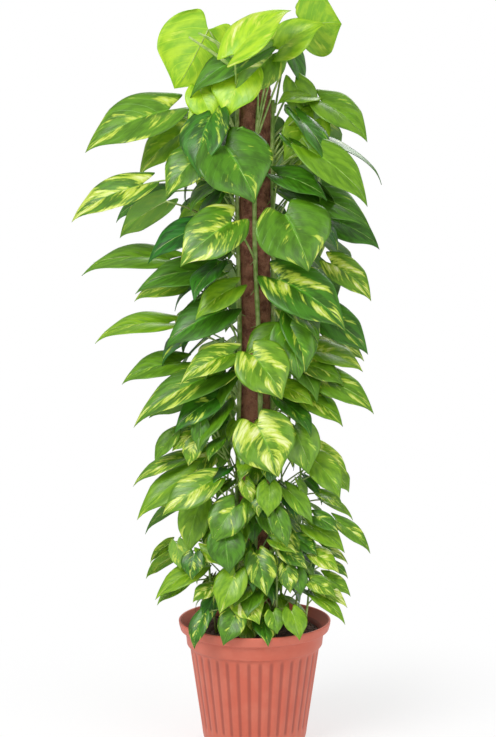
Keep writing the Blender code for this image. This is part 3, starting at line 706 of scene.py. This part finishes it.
# shoots with small leaves
# name: (what it springs from, stem points, [(place on the stem, base, tip, width, facing)])
shootRows = {
    "left_side_shoot": (
        "left_vine",
        [(-3.7, -3.8, 45), (-5, -5.3, 48.5), (-6.2, -5, 52.5), (-6.8, -4, 55)],
        [
            (1.0, (-9.6, -4.2, 56.6), (-16.4, -5.2, 53.2), 4.5, (170, 30)),
            (0.9, (-6, -6.5, 56), (-12.5, -9, 51.8), 4.5, (-10, 40)),
            (0.6, (-6.5, -3, 52), (-14.5, -4, 48.8), 4.5, (-10, 50)),
            (0.5, (-8.2, -8, 52.6), (-8.3, -9, 48.2), 2.8, (0, 20)),
            (0.3, (-9, -6.5, 49.6), (-10.3, -7.5, 45.8), 3, (-10, 30)),
            (0.4, (-9.6, -5, 50), (-12.8, -6, 48), 2.5, (-10, 40)),
            (0.4, (-12.3, -4.6, 50.3), (-15.4, -5.6, 46), 3, (-30, 30)),
        ],
    ),
    "right_side_shoot": (
        "right_vine",
        [(4.5, -2.4, 48), (5.5, -2.5, 53), (6, -2.5, 58), (6, -2.5, 63)],
        [
            (0.9, (9.3, -2, 62.8), (16.8, -3, 60.2), 5, (10, 55)),
            (1.0, (10.5, 1, 64.7), (17.4, 1, 61.5), 4.5, (20, 45)),
            (0.8, (7.5, -4, 61), (14, -5, 58.4), 4.5, (10, 50)),
            (0.9, (3.2, -4.4, 66.2), (-1.8, -5.6, 62.8), 4, (0, 40)),
            (1.0, (4.5, -3, 69), (10, -4, 65.5), 4.5, (10, 45)),
            (0.5, (4.3, -6, 57.8), (9, -8, 55.6), 4, (0, 50)),
            (0.4, (5, -3.6, 56), (8.2, -4.2, 52), 4.2, (10, 35)),
            (0.5, (7.5, -4, 56), (14, -5, 52.3), 4.5, (15, 45)),
        ],
    ),
    "left_base_shoot": (
        "soil",
        [(-6, -2, 18.25), (-7, -3, 28), (-7, -3.5, 38), (-6.5, -3, 46)],
        [
            (0.95, (-10.5, -3, 46.3), (-19, -5, 43), 3.2, (-10, 55)),
            (1.0, (-6.4, -2.5, 47), (-10.8, -4, 43.2), 4, (-10, 40)),
            (0.9, (-9, -4, 44.3), (-18.6, -6, 37.8), 5, (-20, 40)),
            (0.7, (-10, -3, 39.8), (-17.4, -5, 35.4), 3, (165, 45)),
            (0.75, (-8.4, -5.5, 39.8), (-10.6, -7, 32.2), 5, (-15, 25)),
            (0.5, (-13, -4, 33), (-16.4, -6, 30.6), 2.5, (170, 40)),
            (0.45, (-12.5, -4, 31), (-17, -6, 28), 3, (170, 40)),
            (0.5, (-12, -6, 33.4), (-11.2, -7.5, 29.6), 3, (175, 20)),
            (0.35, (-8.4, -6, 29.5), (-15.4, -8, 25.4), 4, (-20, 50)),
            (0.3, (-11, -5, 26.5), (-15.2, -6.5, 24.2), 2.5, (-20, 60)),
        ],
    ),
    "front_left_shoot": (
        "soil",
        [(-3.5, -5, 18.25), (-4, -6.5, 26), (-4.3, -7, 34), (-3.5, -6.5, 42)],
        [
            (0.9, (-6.5, -9, 43.8), (-14, -11, 38.9), 5.2, (-5, 40)),
            (0.95, (-3, -10, 40), (-6.6, -12, 35), 5.5, (-5, 30)),
            (0.75, (-4.5, -10.5, 36), (-3.9, -12.5, 30.2), 5.5, (0, 25)),
            (0.6, (-9.2, -9, 32.4), (-9.8, -10.5, 28.8), 3.5, (-15, 30)),
            (0.55, (-8.3, -8, 33), (-5.3, -9.5, 30.8), 2.6, (0, 45)),
            (0.4, (-2.9, -10.5, 29.8), (-5.2, -13, 24.2), 4.6, (-5, 30)),
            (0.3, (-6.5, -8, 27), (-9.5, -9.5, 25.2), 3, (-20, 50)),
            (0.2, (-7.8, -11, 23.4), (-9.5, -13, 18.8), 3, (-30, 25)),
            (0.15, (-2.8, -11, 23.6), (-4.8, -13.2, 19.4), 4, (-5, 30)),
            (0.2, (-2.2, -8.5, 25.8), (1, -12, 22.6), 5, (5, 40)),
            (0.45, (-2.5, -8, 31), (-0.8, -9, 28.3), 2.6, (0, 35)),
            (1.0, (-1.5, -8, 43.5), (-0.4, -9, 40.1), 2.3, (0, 25)),
        ],
    ),
    "front_right_shoot": (
        "soil",
        [(3, -5.5, 18.25), (3.4, -6.5, 26), (3.2, -7, 34), (2.6, -6.5, 41)],
        [
            (1.0, (2.2, -9, 43), (2, -11, 38.6), 3.8, (5, 25)),
            (0.85, (3.2, -9.5, 38.9), (4.9, -11.5, 34), 3.2, (10, 25)),
            (0.7, (2.8, -9, 34.6), (6.4, -10.5, 33), 2.6, (5, 50)),
            (0.9, (5, -7, 42), (9.2, -9, 37.4), 3.2, (10, 40)),
            (0.6, (0.4, -9, 32.2), (2, -11.5, 26.6), 4.6, (0, 30)),
            (0.6, (4.4, -8, 32.7), (8, -9.5, 30.3), 3, (5, 45)),
            (0.5, (4.8, -8.5, 30.3), (5.4, -9.8, 26.5), 3, (10, 25)),
            (0.4, (6.4, -8, 29.6), (7, -9.2, 26), 2.8, (10, 25)),
            (0.2, (5.6, -11, 24), (6.8, -13.2, 20.2), 3.6, (15, 30)),
            (0.15, (2.8, -11, 23.8), (3.6, -12.8, 21), 3, (5, 30)),
        ],
    ),
    "right_upper_base_shoot": (
        "soil",
        [(6, -1.5, 18.25), (7, -2.5, 28), (7.5, -3, 37), (7, -3, 45)],
        [
            (1.0, (9.5, -3, 48.1), (14.6, -4, 44), 2.8, (20, 50)),
            (0.95, (9.2, -5, 46.2), (13.6, -7, 41.2), 4.8, (15, 35)),
            (0.9, (12.3, -0.5, 43.8), (15, -0.5, 40.4), 3, (25, 35)),
            (0.8, (10.2, -4, 40.8), (14, -5, 38.9), 2.6, (10, 60)),
            (0.75, (10.8, -2, 39.4), (15.5, -3, 36.9), 2.2, (10, 65)),
            (0.75, (9.2, -6.5, 37.8), (13, -8, 35.8), 2.8, (10, 40)),
            (0.7, (12.6, -4, 36.5), (18, -6, 32.2), 3, (20, 50)),
            (0.65, (8.4, -5, 36), (14, -7, 32.6), 4, (15, 45)),
            (0.5, (6.5, -6, 34.2), (9.8, -7, 32), 2.8, (5, 45)),
        ],
    ),
    "right_lower_base_shoot": (
        "soil",
        [(7.2, -4.5, 18.25), (8, -5, 22), (8.4, -5, 26), (8.6, -4.6, 29.5)],
        [
            (0.95, (9, -6, 31.8), (13.2, -7.5, 29.6), 3.2, (10, 45)),
            (1.0, (10.6, -2, 32), (14.6, -3, 29.6), 1.8, (15, 60)),
            (0.9, (11.5, -3.5, 29.8), (14.7, -4.5, 28), 2, (15, 55)),
            (0.7, (10.8, -5, 28), (15, -6.5, 25.6), 2.8, (15, 50)),
            (0.6, (9.8, -6.5, 26.7), (14.4, -8.5, 24.4), 2.6, (15, 50)),
            (0.45, (9.4, -7.5, 25.4), (14.2, -10, 22.4), 2.4, (15, 50)),
            (0.8, (8.6, -8, 28), (12.6, -10, 26.2), 3, (10, 45)),
        ],
    ),
}
shootLook = {"stem": 0.2, "cells": 12, "taper": 0.35}


def alongPath(points, share):
    spot = share * (len(points) - 1)
    index = min(int(spot), len(points) - 2)
    return points[index].lerp(points[index + 1], spot - index)


def finishLeafy(bm, name, leaves, stalkRadius):
    rng = random.Random(name)
    for start, leaf in leaves:
        cream = rng.uniform(0.05, 0.75)
        young = rng.uniform(0.05, 0.55)
        addLeaf(bm, leaf, start, rng.random(), cream, young, shootLook["cells"], 5, stalkRadius)
    finishPiece(bm, name + "_fine", name, plantMaterials)


def makeShoot(name, points, leaves):
    bm = newPiece()
    path = smoothPath(points, 6)
    taper = shootLook["taper"]
    addTube(bm, path, [shootLook["stem"] * cm * (1 - taper * i / len(path)) for i in range(len(path))])
    finishLeafy(bm, name, leaves, stalkLook["shootRadius"])


for name, (root, points, rows) in shootRows.items():
    points = [point(spot) for spot in points]
    if root in vines:
        points.insert(0, vineSide(root, points[0].z / cm, points[0], vineLook["radius"] - 0.1))
    path = smoothPath(points, 2)
    leaves = [(alongPath(path, row[0]), tuple(row[1:])) for row in rows]
    makeShoot(name, points, leaves)
print("front shoots made")


# behind the pole: leaves set round by the same formulas as the part's
backLook = {
    "turn": 137.5,
    "heights": range(52, 98, 6),
    "shoots": {"back_left_shoot": -140, "back_right_shoot": 140},
    "shootLeaves": 9,
    "shootPoints": [(18.25, 6.0), (28, 7.0), (38, 7.0), (47, 6.0)],  # height and reach
}


def makeBackVine(name):
    bm = newPiece()
    addVine(bm, name)
    addThicket(bm, name, random.Random(name + " leaves"))
    side = math.copysign(1, vines[name][0])
    leaves = []
    for index, height in enumerate(backLook["heights"]):
        azimuth = side * (160 - 36 * ((index * backLook["turn"] / 360) % 1))
        size = 7.5 + 4.0 * (height - 50) / 50
        reach = 7 + 4 * ((index * 0.4) % 1)
        leaf = leafOutward(azimuth, height + 5, reach, size, size * 0.7, 35)
        leaves.append((vineSide(name, height, point(leaf[0]), 0), leaf))
    finishLeafy(bm, name, leaves, stalkLook["radius"])


def makeBackShoot(name, azimuth):
    points = []
    for height, reach in backLook["shootPoints"]:
        points.append(direction(azimuth) * (reach * cm) + upTo(height))
    path = smoothPath(points, 2)
    leaves = []
    for index in range(backLook["shootLeaves"]):
        height = 24 + index * 2.8
        turn = azimuth + 44 * math.sin(index * 2.4)
        reach = 8.5 + 2.5 * ((index * 0.618) % 1)
        size = 4.4 + 2.0 * index / backLook["shootLeaves"]
        leaf = leafOutward(turn, height, reach, size, size * 0.66, 40)
        leaves.append((alongPath(path, max(0.05, (height - 22) / 30)), leaf))
    makeShoot(name, points, leaves)


for name in ("back_left_vine", "back_right_vine"):
    makeBackVine(name)
for name, azimuth in backLook["shoots"].items():
    makeBackShoot(name, azimuth)
print("back made")


# pot
potLook = {
    "rim": 12.0,
    "height": 20.0,
    "wall": 0.3,
    "floor": 0.6,
    "floorRadius": 7.75,  # inside, at the floor
    "rimStep": 1.45,  # from the rim's edge in to the wall's inner side
    "flutes": 36,
    "fluteDepth": 0.17,
    "fluteTop": 15.8,
    "fluteFoot": 3.0,
    "colour": (0.58, 0.122, 0.070),
    # painted shade: the colour laid into the flutes' grooves, darker than the pot's own plastic
    "groove": (0.36, 0.062, 0.036),
    # painted shade on the pot's inside wall
    "inside": (0.33, 0.07, 0.045),
    "dust": (0.80, 0.36, 0.26),
    "ridgeColumns": 8,  # faces round one flute
    "bandRows": 30,  # faces down the fluted band
}


def innerRadius(z):
    look = potLook
    spread = look["rim"] - look["rimStep"] - look["floorRadius"]
    return look["floorRadius"] + (z - look["floor"]) * spread / (look["height"] - look["floor"])


def spun(profile, steps):
    bm = newPiece()
    verts = [bm.verts.new((r * cm, 0, z * cm)) for r, z in profile]
    edges = [bm.edges.new(pair) for pair in zip(verts, verts[1:])]
    axis, turn = (0, 0, 1), 2 * math.pi
    bmesh.ops.spin(bm, geom=verts + edges, axis=axis, cent=(0, 0, 0), angle=turn, steps=steps, use_merge=True)
    bmesh.ops.remove_doubles(bm, verts=bm.verts, dist=1e-6)
    bmesh.ops.recalc_face_normals(bm, faces=bm.faces)
    for face in bm.faces:
        face.smooth = True
    return bm


def arc(centre, radius, start, end, count):
    spots = []
    for index in range(count + 1):
        turn = math.radians(start + (end - start) * index / count)
        spots.append((centre[0] + radius * math.cos(turn), centre[1] + radius * math.sin(turn)))
    return spots


def potMaterial():
    look = potLook
    graph = materialGraph("terracotta plastic")
    place = graph.objectPlace()
    dust = graph.noise(place, 22, 4.0, 0.6)
    grain = graph.noise(place, 900, 2.0)
    x, y, z = graph.split(place)
    turn = graph.math("ARCTAN2", y, x)
    radius = graph.math("SQRT", x * x + y * y)
    ridge = graph.math("COSINE", turn * float(look["flutes"]))
    band = graph.step(z, 0.028, 0.036) * (1 - graph.step(z, 0.152, 0.158))
    # painted shade: the grooves between the flutes are darkened as if in shadow
    colour = graph.mix(graph.step(ridge, 0.1, -0.9) * band * 0.34, look["colour"], look["groove"])
    colour = graph.mix(graph.step(dust, 0.35, 0.75) * 0.16, colour, look["dust"])
    # painted shade: the inside wall above the soil is darker than the outside
    wall = (innerRadius(0) + 0.12) * cm
    lean = (innerRadius(10) - innerRadius(0)) / 10
    paintedInsideShade = 1 - graph.step(radius - z * lean, wall, wall + 0.001)
    paintedInsideShade = paintedInsideShade * graph.step(z, 0.01, 0.02)
    colour = graph.mix(paintedInsideShade * 0.8, colour, look["inside"])
    rough = graph.clamped(0.40 + dust * 0.16)
    return graph.finish(colour, rough, graph.bump(grain, 0.06, 0.0004), Specular_IOR_Level=0.5)


def makePot():
    look = potLook
    top, rim = look["height"], look["rim"]
    profile = [(0, look["floor"]), (innerRadius(look["floor"]) - 0.3, look["floor"])]
    profile += [(innerRadius(z), z) for z in (1.0, 6, 12, 17.5, 18.6)]
    profile += [(rim - 0.52, top - 0.5), (rim - 0.42, top - 0.12)]
    profile += arc((rim - 0.22, top - 0.18), 0.18, 150, -5, 8)
    profile += [(rim - 0.1, top - 0.7), (rim - 0.28, top - 1.25)]
    profile += arc((rim - 0.48, top - 1.35), 0.18, 0, -90, 5)
    profile += [(rim - 1.05, top - 1.56), (rim - 1.12, top - 1.75), (rim - 1.2, top - 2.6)]
    profile += [(rim - 1.32, top - 3.8), (rim - 1.42, top - 3.98)]
    high, low, rows = look["fluteTop"] + 0.1, 1.6, look["bandRows"]
    for index in range(rows + 1):
        z = high - (high - low) * index / rows
        profile.append((innerRadius(z) + look["wall"], z))
    profile += [(innerRadius(0.9) + 0.22, 0.9), (innerRadius(0.3) + 0.02, 0.35)]
    profile += [(innerRadius(0) - 0.12, 0.04), (innerRadius(0) - 0.3, 0), (6.4, 0), (0, 0)]
    bm = spun(profile, look["flutes"] * look["ridgeColumns"])
    for vert in bm.verts:
        z = vert.co.z / cm
        radius = math.hypot(vert.co.x, vert.co.y)
        if radius < (innerRadius(z) + look["wall"] / 2) * cm:
            continue
        if not look["fluteFoot"] - 0.8 < z < look["fluteTop"] + 0.05:
            continue
        fade = min(1, max(0, (z - look["fluteFoot"] + 0.8) / 1.3))
        fade *= min(1, max(0, (look["fluteTop"] - z) / 0.5))
        turn = math.atan2(vert.co.y, vert.co.x) * look["flutes"]
        groove = (0.5 - 0.5 * math.cos(turn)) ** 1.4
        share = 1 - look["fluteDepth"] * cm * groove * fade / radius
        vert.co.x *= share
        vert.co.y *= share
    finishPiece(bm, "fluted_pot", "pot", [potMaterial()])


makePot()
print("pot made")


# soil
soilLook = {
    "top": 18.2,
    "edge": 17.9,
    "socket": 2.48,  # radius of the hole the pole stands in
    "socketFloor": 2.97,
    "columns": 200,
    "rings": 56,
    "crumbs": 520,
    "dark": (0.035, 0.019, 0.013),
    "mid": (0.105, 0.052, 0.033),
    "light": (0.28, 0.17, 0.11),
}


def soilMaterial():
    graph = materialGraph("peat soil")
    place = graph.objectPlace()
    lumps = graph.noise(place, 120, 6.0, 0.65)
    flecks = graph.noise(place, 420, 3.0, 0.6)
    colour = graph.mix(graph.step(lumps, 0.35, 0.65), soilLook["dark"], soilLook["mid"])
    colour = graph.mix(graph.step(flecks, 0.62, 0.72) * 0.6, colour, soilLook["light"])
    return graph.finish(colour, 0.92, graph.bump(lumps + flecks * 0.5, 0.9, 0.004))


def makeSoil():
    look = soilLook
    edge = innerRadius(look["edge"]) - 0.03
    socket, deep = look["socket"], look["socketFloor"]
    profile = [(0, deep), (socket, deep), (socket, look["top"] - 0.3)]
    count = look["rings"]
    for index in range(count + 1):
        radius = socket + 0.05 + (edge - socket - 0.05) * index / count
        profile.append((radius, look["top"] - 0.3 * max(0, (radius - 8.5) / 2) ** 2))
    profile += [(innerRadius(0.63) - 0.05, 0.64), (0, 0.64)]
    bm = spun(profile, look["columns"])
    for vert in bm.verts:
        radius = math.hypot(vert.co.x, vert.co.y) / cm
        if vert.co.z / cm > look["top"] - 0.6 and radius > socket + 0.02:
            spot = vert.co * 100
            rise = noise.noise(spot * 1.3) * 0.22 + noise.noise(spot * 3.4) * 0.16
            rise += noise.noise(spot * 8) * 0.06
            vert.co.z += (rise - 0.05) * cm * min(1, (edge - radius) * 2 + 0.15)
    rng = random.Random(11)
    for index in range(look["crumbs"]):
        turn = rng.uniform(0, 2 * math.pi)
        radius = (2.9 + (edge - 3.3) * math.sqrt(rng.random())) * cm
        size = rng.uniform(0.05, 0.24) * cm
        crumb = bmesh.ops.create_icosphere(bm, subdivisions=1, radius=size)["verts"]
        stretch = Vector((rng.uniform(0.7, 1.5), rng.uniform(0.7, 1.3), rng.uniform(0.5, 0.9)))
        spot = Vector((radius * math.cos(turn), radius * math.sin(turn), 0))
        spot += upTo(look["top"] + rng.uniform(-0.06, 0.16))
        for vert in crumb:
            vert.co = Vector(a * b for a, b in zip(vert.co, stretch)) * rng.uniform(0.8, 1.2) + spot
    finishPiece(bm, "crumbly_soil", "soil", [soilMaterial()])


makeSoil()
print("soil made")


# pole: a wooden stake in a sleeve of coir
poleLook = {
    "radius": 2.45,
    "top": 109.0,
    "foot": 3.0,
    "core": 1.1,
    "coreProud": 0.4,  # how far the stake stands out of the coir
    "columns": 72,
    "rows": 330,
    "hairs": 260,
    "coreDark": (0.30, 0.19, 0.10),
    "coreLight": (0.52, 0.38, 0.24),
    "dark": (0.170, 0.056, 0.032),
    "mid": (0.440, 0.180, 0.112),
    "light": (0.660, 0.360, 0.250),
}


def coirMaterial():
    look = poleLook
    graph = materialGraph("coir fibre")
    place = graph.objectPlace()
    x, y, z = graph.split(place)
    turn = graph.math("ARCTAN2", y, x)
    wrapped = graph.vector(turn * 9, turn * turn * 2, z * 420)
    strands = graph.noise(wrapped, 1.0, 4.0, 0.7)
    clumps = graph.noise(place, 70, 4.0, 0.6)
    colour = graph.mix(graph.step(clumps, 0.32, 0.62), look["dark"], look["mid"])
    colour = graph.mix(graph.step(strands, 0.52, 0.74) * 0.7, colour, look["light"])
    return graph.finish(colour, 0.9, graph.bump(strands + clumps, 0.8, 0.003))


def makePole():
    look = poleLook
    foot, top, radius = look["foot"], look["top"], look["radius"]
    rows, bore = look["rows"], look["core"] + 0.04
    profile = [(bore, foot), (bore, top - 0.1), (look["core"] + 0.2, top)]
    profile += [(radius - 0.35, top), (radius - 0.1, top - 0.1)]
    profile += [(radius, top - 0.3 - (top - 0.3 - foot) * i / rows) for i in range(rows + 1)]
    profile.append((bore, foot))
    bm = spun(profile, look["columns"])
    for vert in bm.verts:
        z = vert.co.z / cm
        spread = math.hypot(vert.co.x, vert.co.y) / cm
        if spread < radius - 0.5 or z < 18:
            continue
        turn = math.atan2(vert.co.y, vert.co.x)
        ring = noise.noise(Vector((math.cos(turn) * 1.1, math.sin(turn) * 1.1, z * 1.5)))
        fine = noise.noise(Vector((math.cos(turn) * 3, math.sin(turn) * 3, z * 4.2)))
        lump = noise.noise(Vector((math.cos(turn) * 1.3, math.sin(turn) * 1.3, z * 0.35)))
        push = 1 + (0.16 * ring + 0.09 * fine + 0.10 * lump - 0.02) / spread
        vert.co.x *= push
        vert.co.y *= push
    rng = random.Random(5)
    for index in range(look["hairs"]):
        turn = rng.uniform(0, 2 * math.pi)
        z = rng.uniform(19, top - 0.5)
        out = Vector((math.cos(turn), math.sin(turn), 0))
        level = Vector((-math.sin(turn), math.cos(turn), 0))
        start = out * ((radius - 0.1) * cm) + upTo(z)
        bend = level * rng.uniform(-0.9, 0.9) * cm + upTo(rng.uniform(-0.5, 0.5))
        middle = start + out * rng.uniform(0.12, 0.3) * cm + bend * 0.5
        end = start + out * rng.uniform(0.0, 0.35) * cm + bend
        addTube(bm, [start, middle, end], [0.00022, 0.0002, 0.00012], 3, 0)
    finishPiece(bm, "coir_wrap", "coir_sleeve", [coirMaterial()])


def coreMaterial():
    graph = materialGraph("pole core wood")
    place = graph.objectPlace()
    stretched = graph.add("ShaderNodeMapping", {}, {"Vector": place, "Scale": (60.0, 60.0, 6.0)})
    grain = graph.noise(stretched, 4.0, 4.0, 0.6)
    colour = graph.mix(graph.step(grain, 0.35, 0.68), poleLook["coreDark"], poleLook["coreLight"])
    return graph.finish(colour, 0.7, graph.bump(grain, 0.4, 0.001))


def makeCore():
    look = poleLook
    foot, radius, top = look["foot"], look["core"], look["top"] + look["coreProud"]
    profile = [(0, top), (radius - 0.1, top), (radius, top - 0.1), (radius, foot), (0, foot)]
    finishPiece(spun(profile, 48), "pole_stake", "pole_core", [coreMaterial()])


makePole()
makeCore()
print("pole made")


# floor, world and lamps
studioLook = {
    "world": 0.46,
    "floor": (0.93, 0.93, 0.93, 1),
    "floorSize": 30,
    "nearGlow": 0.55,
    "fade": (0.2, 0.75),  # from here to here the floor turns plain white
    "aim": (0, 0, 0.62),
    # name: (place, size, power)
    "lamps": {
        "key": ((-1.5, -2.2, 2.7), 1.8, 78.0),
        "fill": ((2.2, -2.4, 1.4), 2.0, 24.0),
        "back": ((0.6, 2.2, 2.6), 1.8, 40.0),
    },
}
white = (1, 1, 1, 1)


def floorMaterial(look):
    graph = materialGraph("pale floor")
    plain = graph.add("ShaderNodeBsdfDiffuse", {}, {"Color": look["floor"]})
    glow = graph.add("ShaderNodeEmission", {}, {"Color": white, "Strength": 1.0})
    rays = graph.add("ShaderNodeLightPath")
    seen = graph.math("MAXIMUM", rays, rays.output("Is Glossy Ray"))
    length = {"operation": "LENGTH"}
    far = graph.step(graph.add("ShaderNodeVectorMath", length, {0: graph.objectPlace()}, 1), *look["fade"])
    share = seen * (look["nearGlow"] + far * (1 - look["nearGlow"]))
    return graph.show(graph.add("ShaderNodeMixShader", {}, {0: share, 1: plain, 2: glow}))


def makeFloor(look):
    bm = bmesh.new()
    bmesh.ops.create_grid(bm, x_segments=1, y_segments=1, size=look["floorSize"])
    mesh = bpy.data.meshes.new("floor")
    bm.to_mesh(mesh)
    bm.free()
    mesh.materials.append(floorMaterial(look))
    floor = bpy.data.objects.new("floor", mesh)
    mainGroup.objects.link(floor)


def makeWorld(look):
    world = bpy.data.worlds.new("studio")
    bpy.context.scene.world = world
    graph = Graph(world, "ShaderNodeOutputWorld")
    cameraRay = graph.add("ShaderNodeLightPath")
    strength = look["world"] + cameraRay * (1 - look["world"])
    graph.show(graph.add("ShaderNodeBackground", {}, {"Color": white, "Strength": strength}))


def makeLamps(look):
    for name, (place, size, power) in look["lamps"].items():
        data = bpy.data.lights.new(name, "AREA")
        data.size = size
        data.energy = power
        lamp = bpy.data.objects.new(name, data)
        lamp.location = place
        aim = Vector(look["aim"]) - Vector(place)
        lamp.rotation_euler = aim.to_track_quat("-Z", "Y").to_euler()
        mainGroup.objects.link(lamp)


makeFloor(studioLook)
makeWorld(studioLook)
makeLamps(studioLook)
print("studio made")
